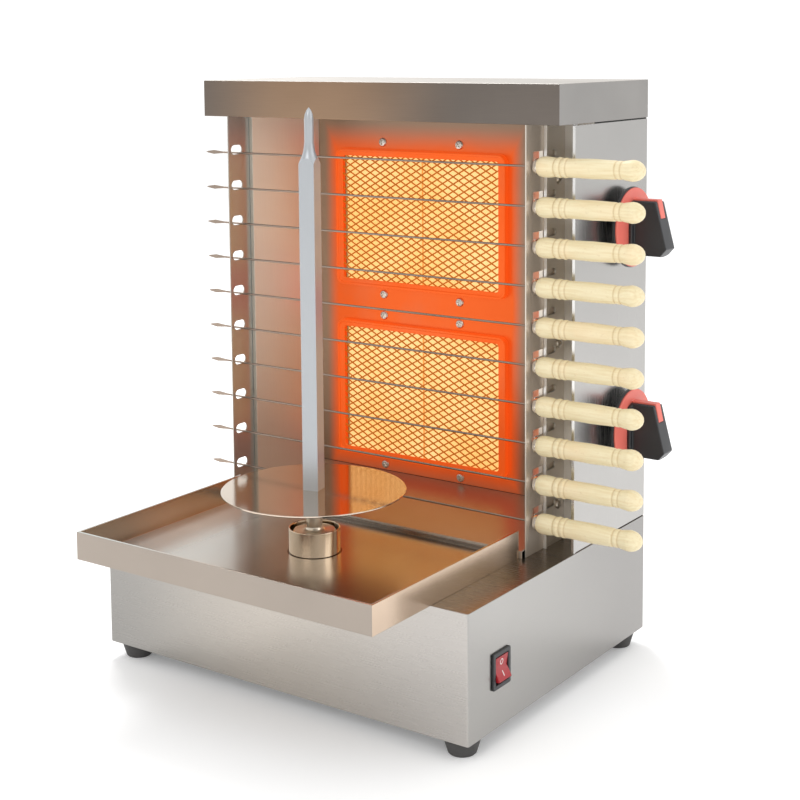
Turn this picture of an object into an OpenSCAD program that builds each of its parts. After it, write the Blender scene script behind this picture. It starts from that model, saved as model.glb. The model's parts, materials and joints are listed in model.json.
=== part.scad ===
// Vertical skewer grill: a spit over a drip pan in front of two upright radiant burners,
// with ten wooden-handled skewers resting across the burner bay.
// Origin: centre of the base footprint on the table. +X right, +Y to the back, +Z up. Millimetres.

/* [Base] */
// Width of the base and cabinet
body_w = 400; // [390:1:430]
// Depth of the base, front to back
body_d = 312; // [304:1:330]
// Height of the base box
base_h = 110; // [104:1:130]
// Thickness of the folded sheet
sheet = 1.2; // [0.8:0.1:1.5]
// Radius of the base's vertical corners
corner_r = 2; // [2:0.5:5]
// Height of the rubber feet
foot_h = 15; // [12:1:25]
// Radius of a foot at the top
foot_top_r = 16.5; // [13:0.5:17]
// Radius of a foot at the floor
foot_floor_r = 12; // [9:0.5:13]
// Distance of the feet from the sides of the base
foot_inset_x = 18; // [18:1:40]
// Distance of the feet from the front and back of the base
foot_inset_y = 19; // [18:1:40]

/* [Cabinet] */
// Height from the deck to the underside of the canopy
cabinet_h = 379; // [372:1:400]
// Distance of the outer panel's front edge behind the front of the base
panel_set_back = 173; // [168:1:178]
// Distance of the rest plates' front edges behind the front of the base
plate_set_back = 143; // [140:1:146]
// Distance of the rest plates from the sides of the cabinet
plate_inset = 31.1; // [29:0.1:33]
// Depth of the open channel beside the right rest plate
channel_d = 36.5; // [34:0.5:42]
// Distance of the burner panel in front of the back of the base
bay_depth = 67; // [64:1:80]
// Height of the burner panel's lower edge above the deck
bay_floor_h = 20.6; // [18:0.1:24]
// Width of the doubled edges
hem_w = 5; // [4:0.5:8]
// Thickness of the doubled front edges beside the bay
hem_t = 3; // [2.4:0.1:4]
// Height of the dark seam above and below the outer panels
seam = 1.2; // [0.6:0.1:2]
// Width of the reflectors' front edge
nose_w = 4; // [3:0.5:6]
// Height of the canopy
canopy_h = 35; // [28:1:45]
// Distance of the canopy's front behind the front of the base
canopy_set_back = 145; // [142:1:148]
// Slope of the apron under the skewers, in degrees
apron_slope = 7.2; // [5:0.1:8]

/* [Burners] */
// Width of one ceramic tile
tile_w = 92; // [86:1:94]
// Thickness of one ceramic tile
tile_t = 13; // [10:1:15]
// Distance of the burners' centre to the left of the middle
burner_left = 10; // [6:1:12]
// Height of the lower tiles above the deck
burner_low = 36.5; // [35:0.5:42]
// Distance of the upper tiles below the canopy
burner_top = 37.2; // [35:0.1:44]
// Distance between the lower and the upper tiles
burner_gap = 41.3; // [40:0.1:50]
// Depth of the gas box behind the burner panel
gas_box_d = 44; // [40:1:48]
// Depth of the burner frame in front of its panel
frame_d = 5.5; // [4.5:0.5:8]
// Width of the burner frame's face round the guard
frame_w = 7.5; // [6:0.5:9]
// Width of one diamond of the expanded guard
diamond_w = 20.4; // [19:0.1:24]
// Height of one diamond of the expanded guard
diamond_h = 12.4; // [11:0.1:15]
// Width of the strands between the diamonds
strand = 1.8; // [1.2:0.1:2.4]

/* [Skewers] */
// Height of the lowest skewer above the deck
first_skewer_h = 28.7; // [27:0.1:31]
// Distance of the highest skewer below the canopy
last_skewer_drop = 36.2; // [34:0.1:44]
// Distance of the skewers behind the rest plates' front edges
skewer_set_back = 13.5; // [12:0.5:15]
// Radius of the needle
needle_r = 1; // [0.9:0.1:1.6]
// Radius of the neck that turns in the seat
neck_r = 2; // [1.8:0.1:2.6]
// Distance of the point beyond the left rest plate
point_reach = 40; // [34:1:50]
// Length of the flat blade at the point
blade_len = 23; // [18:1:28]
// Width of the flat blade at the point
blade_w = 3.9; // [3.4:0.1:5]
// Radius of the ferrule at the handle
ferrule_r = 7.2; // [6.6:0.1:7.8]
// Length of the ferrule
ferrule_len = 5; // [4:0.5:7]
// Length of the wooden handle
handle_len = 99.8; // [90:0.1:115]
// Largest radius of the wooden handle
handle_r = 9.1; // [8.4:0.1:10]
// Radial clearance of the neck in its seat
seat_gap = 0.1; // [0.05:0.01:0.2]

/* [Drip pan] */
// Width of the drip pan
pan_w = 321; // [300:1:325]
// Depth of the drip pan
pan_d = 217.4; // [205:0.1:225]
// Height of the drip pan
pan_h = 25; // [22:1:34]
// Distance of the pan's centre to the right of the middle
pan_right = 4.5; // [2:0.5:5]
// Clearance between the pan and the apron
pan_gap = 0.6; // [0.4:0.1:2]
// Outer radius of the collar in the pan
collar_r = 23; // [21:0.5:28]
// Height of the collar above the pan's floor
collar_h = 22; // [16:1:24]
// Wall of the collar
collar_wall = 1.4; // [1:0.1:2]

/* [Spit] */
// Distance of the spit behind the front of the base
spit_set_back = 52.5; // [50:0.5:56]
// Distance of the spit to the right of the middle
spit_right = 5; // [0:1:8]
// Side of the square spit
spit_side = 14.4; // [12:0.1:16]
// Length of the square part above the disc
spit_len = 288; // [240:1:300]
// Height of the turned shoulder above the square part
shoulder_h = 19; // [12:1:26]
// Length of the slim point above the shoulder
spit_point_len = 30; // [24:1:40]
// Radius of the slim point
spit_point_r = 4.2; // [3:0.1:5]
// Turn of the square spit as it stands, in degrees
spit_turn = 14; // [0:1:45]
// Radius of the disc
disc_r = 82; // [70:1:84]
// Height of the disc above the deck
disc_lift = 56; // [55:1:64]
// Radius of the spit's neck
spit_neck_r = 7.2; // [6:0.1:7.2]
// Radius of the spit's flange inside the collar
flange_r = 18.8; // [17:0.1:19.6]
// Outer radius of the drive socket
socket_r = 11; // [10:0.5:12]
// Side of the square tang in the drive socket
tang_side = 8; // [7:0.5:8.5]

/* [Controls] */
// Radius of a knob's skirt
knob_r = 36.7; // [32:0.1:40]
// Height of a knob's grip above its skirt
grip_h = 35; // [26:1:38]
// Width of a knob's grip
grip_w = 18; // [14:0.5:22]
// Length of a knob's grip
grip_len = 51; // [44:1:56]
// Distance of the knobs in front of the back of the base
knob_depth = 48.5; // [44:0.5:54]
// Height of the upper knob above its burner's centre
upper_knob_rise = 6.2; // [0:0.1:12]
// Depth of the lower knob below its burner's centre
lower_knob_drop = 6; // [0:0.1:12]
// Width of the red pointer over a knob's grip
pointer_w = 9; // [5:0.5:12]
// Gap between the panel and the back of a knob
knob_gap = 7; // [4:0.5:10]
// Width of the switch bezel, front to back
switch_w = 27; // [24:1:32]
// Height of the switch bezel
switch_h = 31; // [28:1:36]
// Distance of the switch behind the front of the base
switch_set_back = 49; // [40:1:70]
// Height of the switch above the bottom of the base
switch_up = 49.5; // [40:0.5:60]
// Angle that the switch paddle tilts to each side
switch_tilt = 10; // [6:1:10]

/* [Hidden] */

// Finish of the pieces
steel = "#c3bfba";
warm_steel = "#b9a58c";
dark_steel = "#8d8a86";
glow = "#e8712a";
wood = "#e8d5a6";
black = "#2c2d2f";
red = "#cf4f45";

// Main levels and planes
half_w = body_w / 2;
half_d = body_d / 2;
front_y = -half_d;
deck_z = foot_h + base_h;
top_z = deck_z + cabinet_h;
plate_front_y = front_y + plate_set_back;
panel_front_y = front_y + panel_set_back;
channel_y = panel_front_y + channel_d;
bay_y = half_d - bay_depth;
canopy_front_y = front_y + canopy_set_back;
plate_x = half_w - plate_inset;
fit = 0.2;

// Skewers: axis, heights and the two slots that carry each of them
skewer_count = 10;
skewer_pitch = (cabinet_h - first_skewer_h - last_skewer_drop) / (skewer_count - 1);
skewer_y = plate_front_y + skewer_set_back;
function skewer_z(i) = deck_z + first_skewer_h + (skewer_count - 1 - i) * skewer_pitch;
seat_r = neck_r + seat_gap;
leg_low = 6.4;
leg_high = 12.6;
leg_reach = 33;
leg_r = (leg_high - leg_low) / 2;
tip_slot_w = 16;
tip_slot_h = 9.2;
rest_gap = 0.3;
tang_len = 38;
tang_r = 1.8;
cup_wall = 1.4;

// Burners
burner_x = -burner_left;
tile_h = (cabinet_h - burner_low - burner_top - burner_gap) / 2;
burner_zs = [top_z - burner_top - tile_h / 2, deck_z + burner_low + tile_h / 2];
tile_gap = 0.8;
tiles_w = 2 * tile_w;
tile_y = bay_y + 3;
guard_margin = 3.5;
guard_w = tiles_w + 2 * guard_margin;
guard_h = tile_h - 4;
guard_t = 1.2;
frame_out_w = tiles_w + 2 * frame_w;
frame_out_h = tile_h + 5;
frame_r = 8;
bead_r = 1.2;
pocket_w = tiles_w + 0.4;
pocket_h = tile_h + 0.4;
ledge = 5;
box_w = pocket_w + 2 * sheet;
box_h = pocket_h + 2 * sheet;
box_flange = 15;
burner_screw_x = 45;
burner_screw_z = frame_out_h / 2 + 7.5;
venturi_r = 7;
venturi_end = plate_x - 4;
panel_low_z = deck_z + bay_floor_h;
bay_half_w = 125;
wing_left_x = burner_x - bay_half_w;
wing_right_x = burner_x + bay_half_w;

// Drip pan, apron, spit and drive
pan_x0 = pan_right - pan_w / 2;
pan_x1 = pan_right + pan_w / 2;
pan_y1 = plate_front_y - 5.6;
pan_y0 = pan_y1 - pan_d;
pan_lip_h = 4.6;
apron_y0 = pan_y1 + pan_gap;
apron_y1 = bay_y;
apron_z1 = panel_low_z - 0.4;
apron_z0 = apron_z1 - (apron_y1 - apron_y0) * tan(apron_slope);
apron_half_w = plate_x - sheet - 0.4;
spit_x = spit_right;
spit_y = front_y + spit_set_back;
hatch_r = 15;
collar_bore_r = collar_r - collar_wall;
socket_top_z = deck_z + 17;
socket_low_z = deck_z - 12;
tang_len_z = 15.8;
disc_z = deck_z + disc_lift;
disc_t = 1.5;
motor_top_z = deck_z - 28;
shaft_r = 5;

// Controls
knob_y = half_d - knob_depth;
knob_zs = [burner_zs[0] + upper_knob_rise, burner_zs[1] - lower_knob_drop];
knob_x = half_w + knob_gap;
rim_t = 3;
skirt_t = 2;
stem_r = 4;
valve_r = 9;
pipe_r = 5;
jet_y = knob_y + 6;
pipe_x = plate_x + 12;
pipe_y = knob_y + 17;
switch_y = front_y + switch_set_back;
switch_z = foot_h + switch_up;
bezel_t = 2;
bezel_rim = 3.2;
pivot_x = half_w - 4.5;
pin_r = 1.5;

// Fixings: head radius, head height, shank radius, clearance in its holes
head_r = 4.4;
head_h = 2.4;
shank_r = 2;
hole_r = shank_r + 0.15;
guard_screw_y = panel_front_y + 24.5;
guard_screw_low = 35;
guard_screw_top = 50;
guard_screw_step = (cabinet_h - guard_screw_low - guard_screw_top) / 2;
guard_screw_zs = [for (i = [0:2]) deck_z + guard_screw_low + i * guard_screw_step];
rear_screw_in = 8;
rear_screw_end = 20;
rear_screw_zs = [deck_z + rear_screw_end, deck_z + cabinet_h / 2, top_z - rear_screw_end];

// Folds of the cabinet's panels
turn_in = 14;
return_d = 21;
plate_foot = 12;

// Turned-up edge of the base's floor and depth of the motor's bracket
floor_edge_h = 15;
bracket_d = 64;

// Gland and air slots
gland_x = 50 - half_w;
gland_z = foot_h + 40;
gland_hole_r = 6.2;
base_vent_half = 60;
base_vent_r = 2.5;
base_vent_step = 12;
floor_vent_half = 30;
floor_vent_step = 14;
floor_vent_y = 60;
floor_vent_r = 3;
rear_vent_x = 85;
rear_vent_half = 50;
rear_vent_drop = 60;
rear_vent_step = 14;
rear_vent_r = 3;
inlet_h = 40;

// Unit vector and its left-hand normal
function unit(v) = v / norm(v);
function left_of(v) = [-v[1], v[0]];

// Mitred corner i of a path moved t to its left
function mitre(path, i, t) =
  let (n = len(path))
  let (before = unit(i > 0 ? path[i] - path[i - 1] : path[1] - path[0]))
  let (after = unit(i < n - 1 ? path[i + 1] - path[i] : path[n - 1] - path[n - 2]))
  let (a = left_of(before), b = left_of(after))
  path[i] + t * (a + b) / (1 + a * b);

// Section of a bent sheet: the path and its copy one thickness to the left
module bent(path, t) {
  polygon(concat(path, [for (i = [len(path) - 1:-1:0]) mitre(path, i, t)]));
}

// Rectangle about the origin with round corners
module round_rect(w, h, r) {
  square([w - 2 * r, h], center = true);
  square([w, h - 2 * r], center = true);
  for (x = [-1, 1], y = [-1, 1]) translate([x * (w / 2 - r), y * (h / 2 - r)]) circle(r = r, $fn = 32);
}

// Slot between two points on a level line
module slot(x0, x1, r) {
  translate([x0, -r]) square([x1 - x0, 2 * r]);
  translate([x0, 0]) circle(r = r, $fn = 32);
  translate([x1, 0]) circle(r = r, $fn = 32);
}

// Extrude a (y, z) outline along +X from x, over length t
module along_x(x, t) {
  translate([x, 0, 0]) rotate([90, 0, 90]) linear_extrude(height = t) children();
}

// Extrude an (x, z) outline along +Y from y, over length t
module along_y(y, t) {
  translate([0, y + t, 0]) rotate([90, 0, 0]) linear_extrude(height = t) children();
}

// Cylinder along +X and along +Y from a point
module rod_x(p, r, h) {
  translate(p) rotate([0, 90, 0]) cylinder(r = r, h = h, $fn = 48);
}
module rod_y(p, r, h) {
  translate(p) rotate([-90, 0, 0]) cylinder(r = r, h = h, $fn = 48);
}

// ---- Base ----

module base_shell() {
  color(steel) difference() {
    translate([0, 0, foot_h]) linear_extrude(height = base_h) round_rect(body_w, body_d, corner_r);
    translate([0, 0, foot_h - 1]) linear_extrude(height = base_h + 1 - sheet)
      round_rect(body_w - 2 * sheet, body_d - 2 * sheet, corner_r - sheet / 2);
    translate([spit_x, spit_y, deck_z - 5]) cylinder(r = hatch_r, h = 10, $fn = 64);
    along_x(half_w - 5, 10) translate([switch_y, switch_z])
      square([switch_w - 2 * bezel_rim + 1, switch_h - 2 * bezel_rim + 1], center = true);
    rod_y([gland_x, half_d - 5, gland_z], gland_hole_r, 10);
    along_y(half_d - 5, 10) for (i = [0:4])
      translate([0, gland_z + i * base_vent_step]) slot(-base_vent_half, base_vent_half, base_vent_r);
  }
}

// Floor of the base with turned-up edges, foot holes and air slots
module base_floor() {
  w = body_w - 2 * sheet - 2 * fit;
  d = body_d - 2 * sheet - 2 * fit;
  r = corner_r;
  color(dark_steel) difference() {
    translate([0, 0, foot_h]) linear_extrude(height = floor_edge_h) round_rect(w, d, r);
    translate([0, 0, foot_h + sheet]) linear_extrude(height = floor_edge_h)
      round_rect(w - 2 * sheet, d - 2 * sheet, r);
    at_feet() translate([0, 0, foot_h - 1]) cylinder(r = hole_r, h = 5, $fn = 32);
    for (i = [-3:3]) translate([spit_x + i * floor_vent_step, floor_vent_y, foot_h - 1])
      linear_extrude(height = 5) rotate(90) slot(-floor_vent_half, floor_vent_half, floor_vent_r);
  }
}

module at_feet() {
  for (x = [-1, 1], y = [-1, 1])
    translate([x * (half_w - foot_inset_x), y * (half_d - foot_inset_y), 0]) children();
}

// Tapered rubber foot with its screw well
module rubber_feet() {
  well_r = head_r + 1;
  well_h = foot_h / 2;
  color(black) at_feet() rotate_extrude($fn = 48) polygon([
    [well_r, 0], [foot_floor_r - 1, 0], [foot_floor_r, 1], [foot_top_r - 0.8, foot_h - 2],
    [foot_top_r, foot_h], [hole_r, foot_h], [hole_r, well_h], [well_r, well_h]]);
}

// Pan head on its shank, pointing up from z = 0
module screw(shank_len) {
  rotate_extrude($fn = 32) polygon([
    [0, -head_h], [head_r * 0.55, -head_h], [head_r * 0.9, -head_h * 0.6], [head_r, 0],
    [shank_r, 0], [shank_r, shank_len], [0, shank_len]]);
}

module cover_screws() {
  color(steel) {
    at_feet() translate([0, 0, foot_h / 2]) screw(foot_h / 2 + sheet + 4);
    for (z = guard_screw_zs)
      translate([plate_x + sheet, guard_screw_y, z]) rotate([0, -90, 0]) screw(2 * sheet + 3);
    for (z = burner_zs, x = [-1, 1], s = [-1, 1])
      translate([burner_x + x * burner_screw_x, bay_y, z + s * burner_screw_z])
        rotate([-90, 0, 0]) screw(2 * sheet + 4);
    for (x = [-1, 1], z = rear_screw_zs)
      translate([x * (half_w - rear_screw_in), half_d, z]) rotate([90, 0, 0]) screw(2 * sheet + 4);
  }
}

// ---- Drive under the deck ----

// Hat-shaped bracket on the base floor that carries the gear motor
module motor_bracket() {
  span = 42;
  foot = 16;
  low = foot_h + sheet;
  t = 2;
  color(dark_steel) difference() {
    along_y(spit_y - bracket_d / 2, bracket_d) bent([
      [spit_x - span - foot, low], [spit_x - span, low], [spit_x - span, motor_top_z],
      [spit_x + span, motor_top_z], [spit_x + span, low], [spit_x + span + foot, low]], t);
    translate([spit_x, spit_y, motor_top_z - 5]) cylinder(r = 9, h = 15, $fn = 48);
  }
}

// Flat gearbox over the motor can
module gear_motor() {
  box_r = 30;
  box_h = 26;
  can_r = 25;
  can_h = motor_top_z - box_h - foot_h - sheet - 6;
  color(dark_steel) translate([spit_x, spit_y, 0]) difference() {
    union() {
      translate([0, 0, motor_top_z - box_h]) cylinder(r = box_r, h = box_h, $fn = 64);
      translate([0, 0, motor_top_z - box_h - can_h]) cylinder(r = can_r, h = can_h, $fn = 64);
      translate([0, 0, motor_top_z]) cylinder(r = 8.5, h = 4, $fn = 48);
      translate([can_r - 4, -8, motor_top_z - box_h - 22]) cube([12, 16, 14]);
    }
    translate([0, 0, motor_top_z - 12]) cylinder(r = shaft_r + 0.05, h = 20, $fn = 48);
  }
}

// Output shaft with the square socket that the spit drops into
module drive_socket() {
  hole = tang_side + 0.4;
  color(steel) translate([spit_x, spit_y, 0]) rotate(spit_turn) difference() {
    union() {
      translate([0, 0, motor_top_z - 10]) cylinder(r = shaft_r, h = socket_low_z - motor_top_z + 11, $fn = 48);
      rotate_extrude($fn = 64) polygon([
        [0, socket_low_z], [socket_r - 1, socket_low_z], [socket_r, socket_low_z + 1],
        [socket_r, socket_top_z - 2], [socket_r - 2, socket_top_z], [0, socket_top_z]]);
    }
    translate([-hole / 2, -hole / 2, socket_top_z - tang_len_z - 0.5]) cube([hole, hole, tang_len_z + 5]);
  }
}

// ---- Rest plates and cabinet sheets ----

// Seat of one skewer: a round-bottomed notch and a leg that runs back from its top
module seat_slot(reach) {
  circle(r = seat_r, $fn = 32);
  translate([-seat_r, 0]) square([2 * seat_r, leg_high]);
  translate([0, leg_low]) square([reach, leg_high - leg_low]);
  translate([reach, leg_low + leg_r]) circle(r = leg_r, $fn = 32);
}

module at_seats() {
  for (i = [0:skewer_count - 1]) translate([skewer_y, skewer_z(i)]) children();
}

// Right rest plate, slotted for the necks of the skewers
module skewer_seat_plate() {
  color(warm_steel) difference() {
    union() {
      along_x(plate_x - sheet, sheet)
        translate([plate_front_y, deck_z]) square([channel_y - plate_front_y, cabinet_h]);
      translate([plate_x - sheet - plate_foot, panel_front_y + 4, deck_z])
        cube([plate_foot + 0.1, 28, sheet]);
    }
    along_x(plate_x - 5, 10) at_seats() seat_slot(leg_reach);
    for (z = guard_screw_zs) rod_x([plate_x - 5, guard_screw_y, z], hole_r, 10);
  }
}

// Left rest plate, slotted for the points of the skewers
module skewer_tip_plate() {
  r = tip_slot_h / 2;
  half = tip_slot_w / 2 - r;
  color(warm_steel) difference() {
    union() {
      along_x(-plate_x, sheet)
        translate([plate_front_y, deck_z]) square([channel_y - plate_front_y, cabinet_h]);
      translate([-plate_x + sheet - 0.1, panel_front_y + 4, deck_z]) cube([plate_foot + 0.1, 28, sheet]);
    }
    along_x(-plate_x - 5, 10) at_seats()
      translate([-1.5, r - needle_r - rest_gap]) slot(-half, half, r);
  }
}

// Guard plate on the right rest plate: doubled front edge, and a back wall across the channel
module right_guard_plate() {
  color(steel) {
    difference() {
      translate([0, 0, deck_z]) linear_extrude(height = cabinet_h)
        bent([[plate_x + sheet, panel_front_y], [plate_x + sheet, channel_y - sheet],
          [half_w - sheet - fit, channel_y - sheet]], sheet);
      along_x(plate_x - 1, 6) at_seats() seat_slot(leg_reach);
      for (z = guard_screw_zs) rod_x([plate_x - 5, guard_screw_y, z], hole_r, 12);
    }
    translate([plate_x, panel_front_y, deck_z]) cube([hem_t, 2 * sheet, cabinet_h]);
  }
}

// Right outer panel: doubled front edge, knob holes, turned-in rear edge, and a strip behind each seam
module right_outer_panel() {
  strip_y = channel_y + 1;
  color(steel) difference() {
    union() {
      translate([0, 0, deck_z + seam]) linear_extrude(height = cabinet_h - 2 * seam) {
        bent([[half_w, panel_front_y], [half_w, half_d - sheet], [half_w - turn_in, half_d - sheet]], sheet);
        translate([half_w - hem_t, panel_front_y]) square([hem_t, hem_w]);
      }
      for (z = [deck_z, top_z - turn_in])
        translate([half_w - 2 * sheet, strip_y, z])
          cube([sheet + 0.1, half_d - 2 * sheet - strip_y, turn_in]);
      translate([half_w - hem_t, panel_front_y + 0.5, deck_z]) cube([hem_t - 0.5, hem_w - 1, cabinet_h]);
    }
    for (z = knob_zs) rod_x([half_w - 5, knob_y, z], stem_r + 1, 10);
    for (z = rear_screw_zs) rod_y([half_w - rear_screw_in, half_d - 8, z], hole_r, 10);
  }
}

// Left outer panel: front wall beside the rest plate, side, turned-in rear edge, and a strip behind each seam
module left_outer_panel() {
  color(steel) difference() {
    union() {
      translate([0, 0, deck_z + seam]) linear_extrude(height = cabinet_h - 2 * seam)
        bent([[turn_in - half_w, half_d - sheet], [-half_w, half_d - sheet], [-half_w, channel_y - sheet],
          [-plate_x - 0.1, channel_y - sheet]], sheet);
      for (z = [deck_z, top_z - turn_in])
        translate([-half_w + sheet - 0.1, channel_y - 0.1, z])
          cube([sheet + 0.1, half_d - 2 * sheet - channel_y, turn_in]);
    }
    for (z = rear_screw_zs) rod_y([rear_screw_in - half_w, half_d - 8, z], hole_r, 10);
  }
}

// Flared reflectors between the rest plates and the burner panel, cut along the apron
module side_reflectors() {
  color(warm_steel) difference() {
    for (side = [[-1, wing_left_x], [1, wing_right_x]]) {
      x0 = side[0] * (plate_x - sheet - fit);
      nose_y = panel_front_y + 1;
      path = [[x0, nose_y + return_d], [x0, nose_y], [x0 - side[0] * nose_w, nose_y], [side[1], bay_y - fit]];
      translate([0, 0, apron_z0]) linear_extrude(height = top_z - apron_z0) bent(path, -side[0] * sheet);
    }
    along_x(-half_w, body_w) polygon([
      [apron_y0, apron_z0 - 20], [half_d, apron_z0 - 20],
      [half_d, apron_z0 + fit + (half_d - apron_y0) * tan(apron_slope)], [apron_y0, apron_z0 + fit]]);
  }
}

// Panel behind the skewers with an opening for each burner
module burner_panel() {
  color(warm_steel) difference() {
    along_y(bay_y, sheet) difference() {
      translate([wing_left_x, panel_low_z])
        square([wing_right_x - wing_left_x, top_z - panel_low_z]);
      for (z = burner_zs) translate([burner_x, z]) round_rect(tiles_w + 2, tile_h + 1, 2);
      for (z = burner_zs, x = [-1, 1], s = [-1, 1])
        translate([burner_x + x * burner_screw_x, z + s * burner_screw_z]) circle(r = hole_r, $fn = 32);
    }
  }
}

// Sloping apron that leads the drips forward into the pan; it stands on a leg at each end
module drip_apron() {
  color(warm_steel) along_x(-apron_half_w, 2 * apron_half_w)
    bent([[apron_y0, deck_z], [apron_y0, apron_z0], [apron_y1, apron_z1], [apron_y1, deck_z]], -sheet);
}

// Rear panel with air slots and the hole for the gas inlet
module rear_panel() {
  w = body_w - 2 * sheet - 2 * fit;
  color(steel) along_y(half_d - sheet, sheet) difference() {
    translate([-w / 2, deck_z]) square([w, cabinet_h]);
    for (x = [-1, 1], i = [0:7]) translate([x * rear_vent_x, top_z - rear_vent_drop - i * rear_vent_step])
      slot(-rear_vent_half, rear_vent_half, rear_vent_r);
    for (x = [-1, 1], z = rear_screw_zs)
      translate([x * (half_w - rear_screw_in), z]) circle(r = hole_r, $fn = 32);
    translate([pipe_x, deck_z + inlet_h]) circle(r = pipe_r + 1, $fn = 32);
  }
}

// Cap over the bay, turned in along its lower front edge
module canopy() {
  d = half_d - canopy_front_y;
  color(steel) translate([-half_w, canopy_front_y, top_z]) difference() {
    cube([body_w, d, canopy_h]);
    translate([sheet, sheet, -1]) cube([body_w - 2 * sheet, d - 2 * sheet, canopy_h + 1 - sheet]);
  }
}

module canopy_ceiling() {
  d = half_d - canopy_front_y;
  inset = sheet + 0.1;
  color(dark_steel) translate([-half_w + inset, canopy_front_y + inset, top_z])
    cube([body_w - 2 * inset, d - 2 * inset, sheet]);
}

// ---- Burners ----

// Stepped gas box: screw flange, pocket for the tiles, gas space behind a ledge, mixing tube with its bell
module gas_box(z) {
  y0 = bay_y + sheet;
  y1 = tile_y + tile_t;
  y2 = y0 + gas_box_d;
  tube_x = burner_x + box_w / 2 - ledge - 4;
  color(dark_steel) translate([0, 0, z]) difference() {
    union() {
      along_y(y0, sheet) translate([burner_x, 0]) round_rect(box_w + 8, box_h + 2 * box_flange, 6);
      along_y(y0, y1 + sheet - y0) translate([burner_x, 0]) round_rect(box_w, box_h, 2);
      along_y(y0, y2 - y0) translate([burner_x, 0]) round_rect(box_w - 2 * ledge, box_h - 2 * ledge, 6);
      rod_x([tube_x, jet_y, knob_dz(z)], venturi_r, venturi_end - tube_x);
      translate([venturi_end - 10, jet_y, knob_dz(z)]) rotate([0, 90, 0])
        cylinder(r1 = venturi_r, r2 = venturi_r + 4, h = 10, $fn = 48);
    }
    along_y(y0 - 1, y1 - y0 + 1) translate([burner_x, 0]) square([pocket_w, pocket_h], center = true);
    along_y(y0, y2 - sheet - y0) translate([burner_x, 0])
      round_rect(box_w - 2 * ledge - 2 * sheet, box_h - 2 * ledge - 2 * sheet, 5);
    rod_x([tube_x - 2, jet_y, knob_dz(z)], venturi_r - 1.5, venturi_end - tube_x + 4);
    translate([venturi_end - 9, jet_y, knob_dz(z)]) rotate([0, 90, 0])
      cylinder(r1 = venturi_r - 1.5, r2 = venturi_r + 2.5, h = 9.1, $fn = 48);
    for (x = [-1, 1], s = [-1, 1])
      rod_y([burner_x + x * burner_screw_x, y0 - 1, s * burner_screw_z], hole_r, 10);
  }
}

// Height of a burner's knob above the burner's own centre
function knob_dz(z) = (z == burner_zs[0] ? knob_zs[0] : knob_zs[1]) - z;

// Two ceramic tiles side by side
module tiles(z) {
  color("#f3dfa8") for (x = [-1, 1])
    translate([burner_x + x * tile_w / 2 - (tile_w - tile_gap) / 2, tile_y, z - tile_h / 2])
      cube([tile_w - tile_gap, tile_t, tile_h]);
}

// Expanded guard: a plate with rows of diamonds, every other row half a step along
module guard(z) {
  nx = ceil(guard_w / diamond_w / 2) + 1;
  nz = ceil(guard_h / diamond_h);
  open_w = diamond_w - 2 * strand;
  open_h = diamond_h * open_w / diamond_w;
  color("#7a4a26") along_y(bay_y - frame_d + sheet + fit, guard_t) translate([burner_x, z]) difference() {
    square([guard_w, guard_h], center = true);
    intersection() {
      square([guard_w - 2 * strand - 2, guard_h - 2 * strand - 2], center = true);
      for (row = [-nz:nz], col = [-nx:nx])
        translate([(col + (row % 2 == 0 ? 0 : 0.5)) * diamond_w, row * diamond_h / 2])
          polygon([[-open_w / 2, 0], [0, -open_h / 2], [open_w / 2, 0], [0, open_h / 2]]);
    }
  }
}

// Pressed frame: a face with a raised bead, and a rim back to the panel
module burner_frame(z) {
  y0 = bay_y - frame_d;
  color(glow) translate([burner_x, 0, z]) {
    difference() {
      along_y(y0, frame_d) round_rect(frame_out_w, frame_out_h, frame_r);
      along_y(y0 + sheet, frame_d)
        round_rect(frame_out_w - 2 * sheet, frame_out_h - 2 * sheet, frame_r - sheet);
      along_y(y0 - 1, frame_d) round_rect(tiles_w - 1, tile_h - 8, 3);
    }
    along_y(y0 - bead_r, bead_r) difference() {
      round_rect(frame_out_w, frame_out_h, frame_r);
      round_rect(frame_out_w - 4 * bead_r, frame_out_h - 4 * bead_r, frame_r - 2 * bead_r);
    }
  }
}

// ---- Gas supply ----

// Rising pipe with a block at each valve, and the inlet through the rear panel
module gas_manifold() {
  low = deck_z + inlet_h;
  high = knob_zs[0] + 14;
  color(steel) {
    translate([pipe_x, pipe_y, low - pipe_r]) cylinder(r = pipe_r, h = high - low + pipe_r, $fn = 48);
    for (z = knob_zs) translate([pipe_x - 7, pipe_y - 7, z - 7]) cube([14, 14, 14]);
    rod_y([pipe_x, pipe_y, low], pipe_r, half_d - pipe_y + 6);
    rod_y([pipe_x, half_d, low], pipe_r + 3, 5);
    translate([pipe_x, half_d + 5, low]) rotate([-90, 0, 0]) rotate_extrude($fn = 48) polygon([
      [0, 0], [pipe_r, 0], [pipe_r - 1, 3], [pipe_r, 3.2], [pipe_r - 1, 6.2], [pipe_r, 6.4],
      [pipe_r - 1.5, 10], [0, 10]]);
  }
}

// Turned valve bodies between the outer panel and the mixing tubes
module gas_valves() {
  x0 = venturi_end + 4;
  x1 = half_w - sheet;
  color("#c9a44c") for (z = knob_zs) difference() {
    union() {
      rod_x([x0 + 5, knob_y, z], valve_r, x1 - x0 - 5);
      rod_x([x0, jet_y, z], 3, 6);
      translate([pipe_x - 7, knob_y, z - 7]) cube([14, pipe_y - 7 - knob_y, 14]);
    }
    rod_x([x1 - 15, knob_y, z], stem_r + 0.05, 20);
  }
}

// ---- Controls ----

module valve_stem(z) {
  x0 = half_w - sheet - 14;
  color(steel) rod_x([x0, knob_y, z], stem_r, knob_x + rim_t + skirt_t + 10 - x0);
}

// Outline of the bar grip, seen along its axis
module grip_outline(w) {
  intersection() {
    circle(r = grip_len / 2, $fn = 64);
    square([w, 2 * grip_len], center = true);
  }
}

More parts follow.
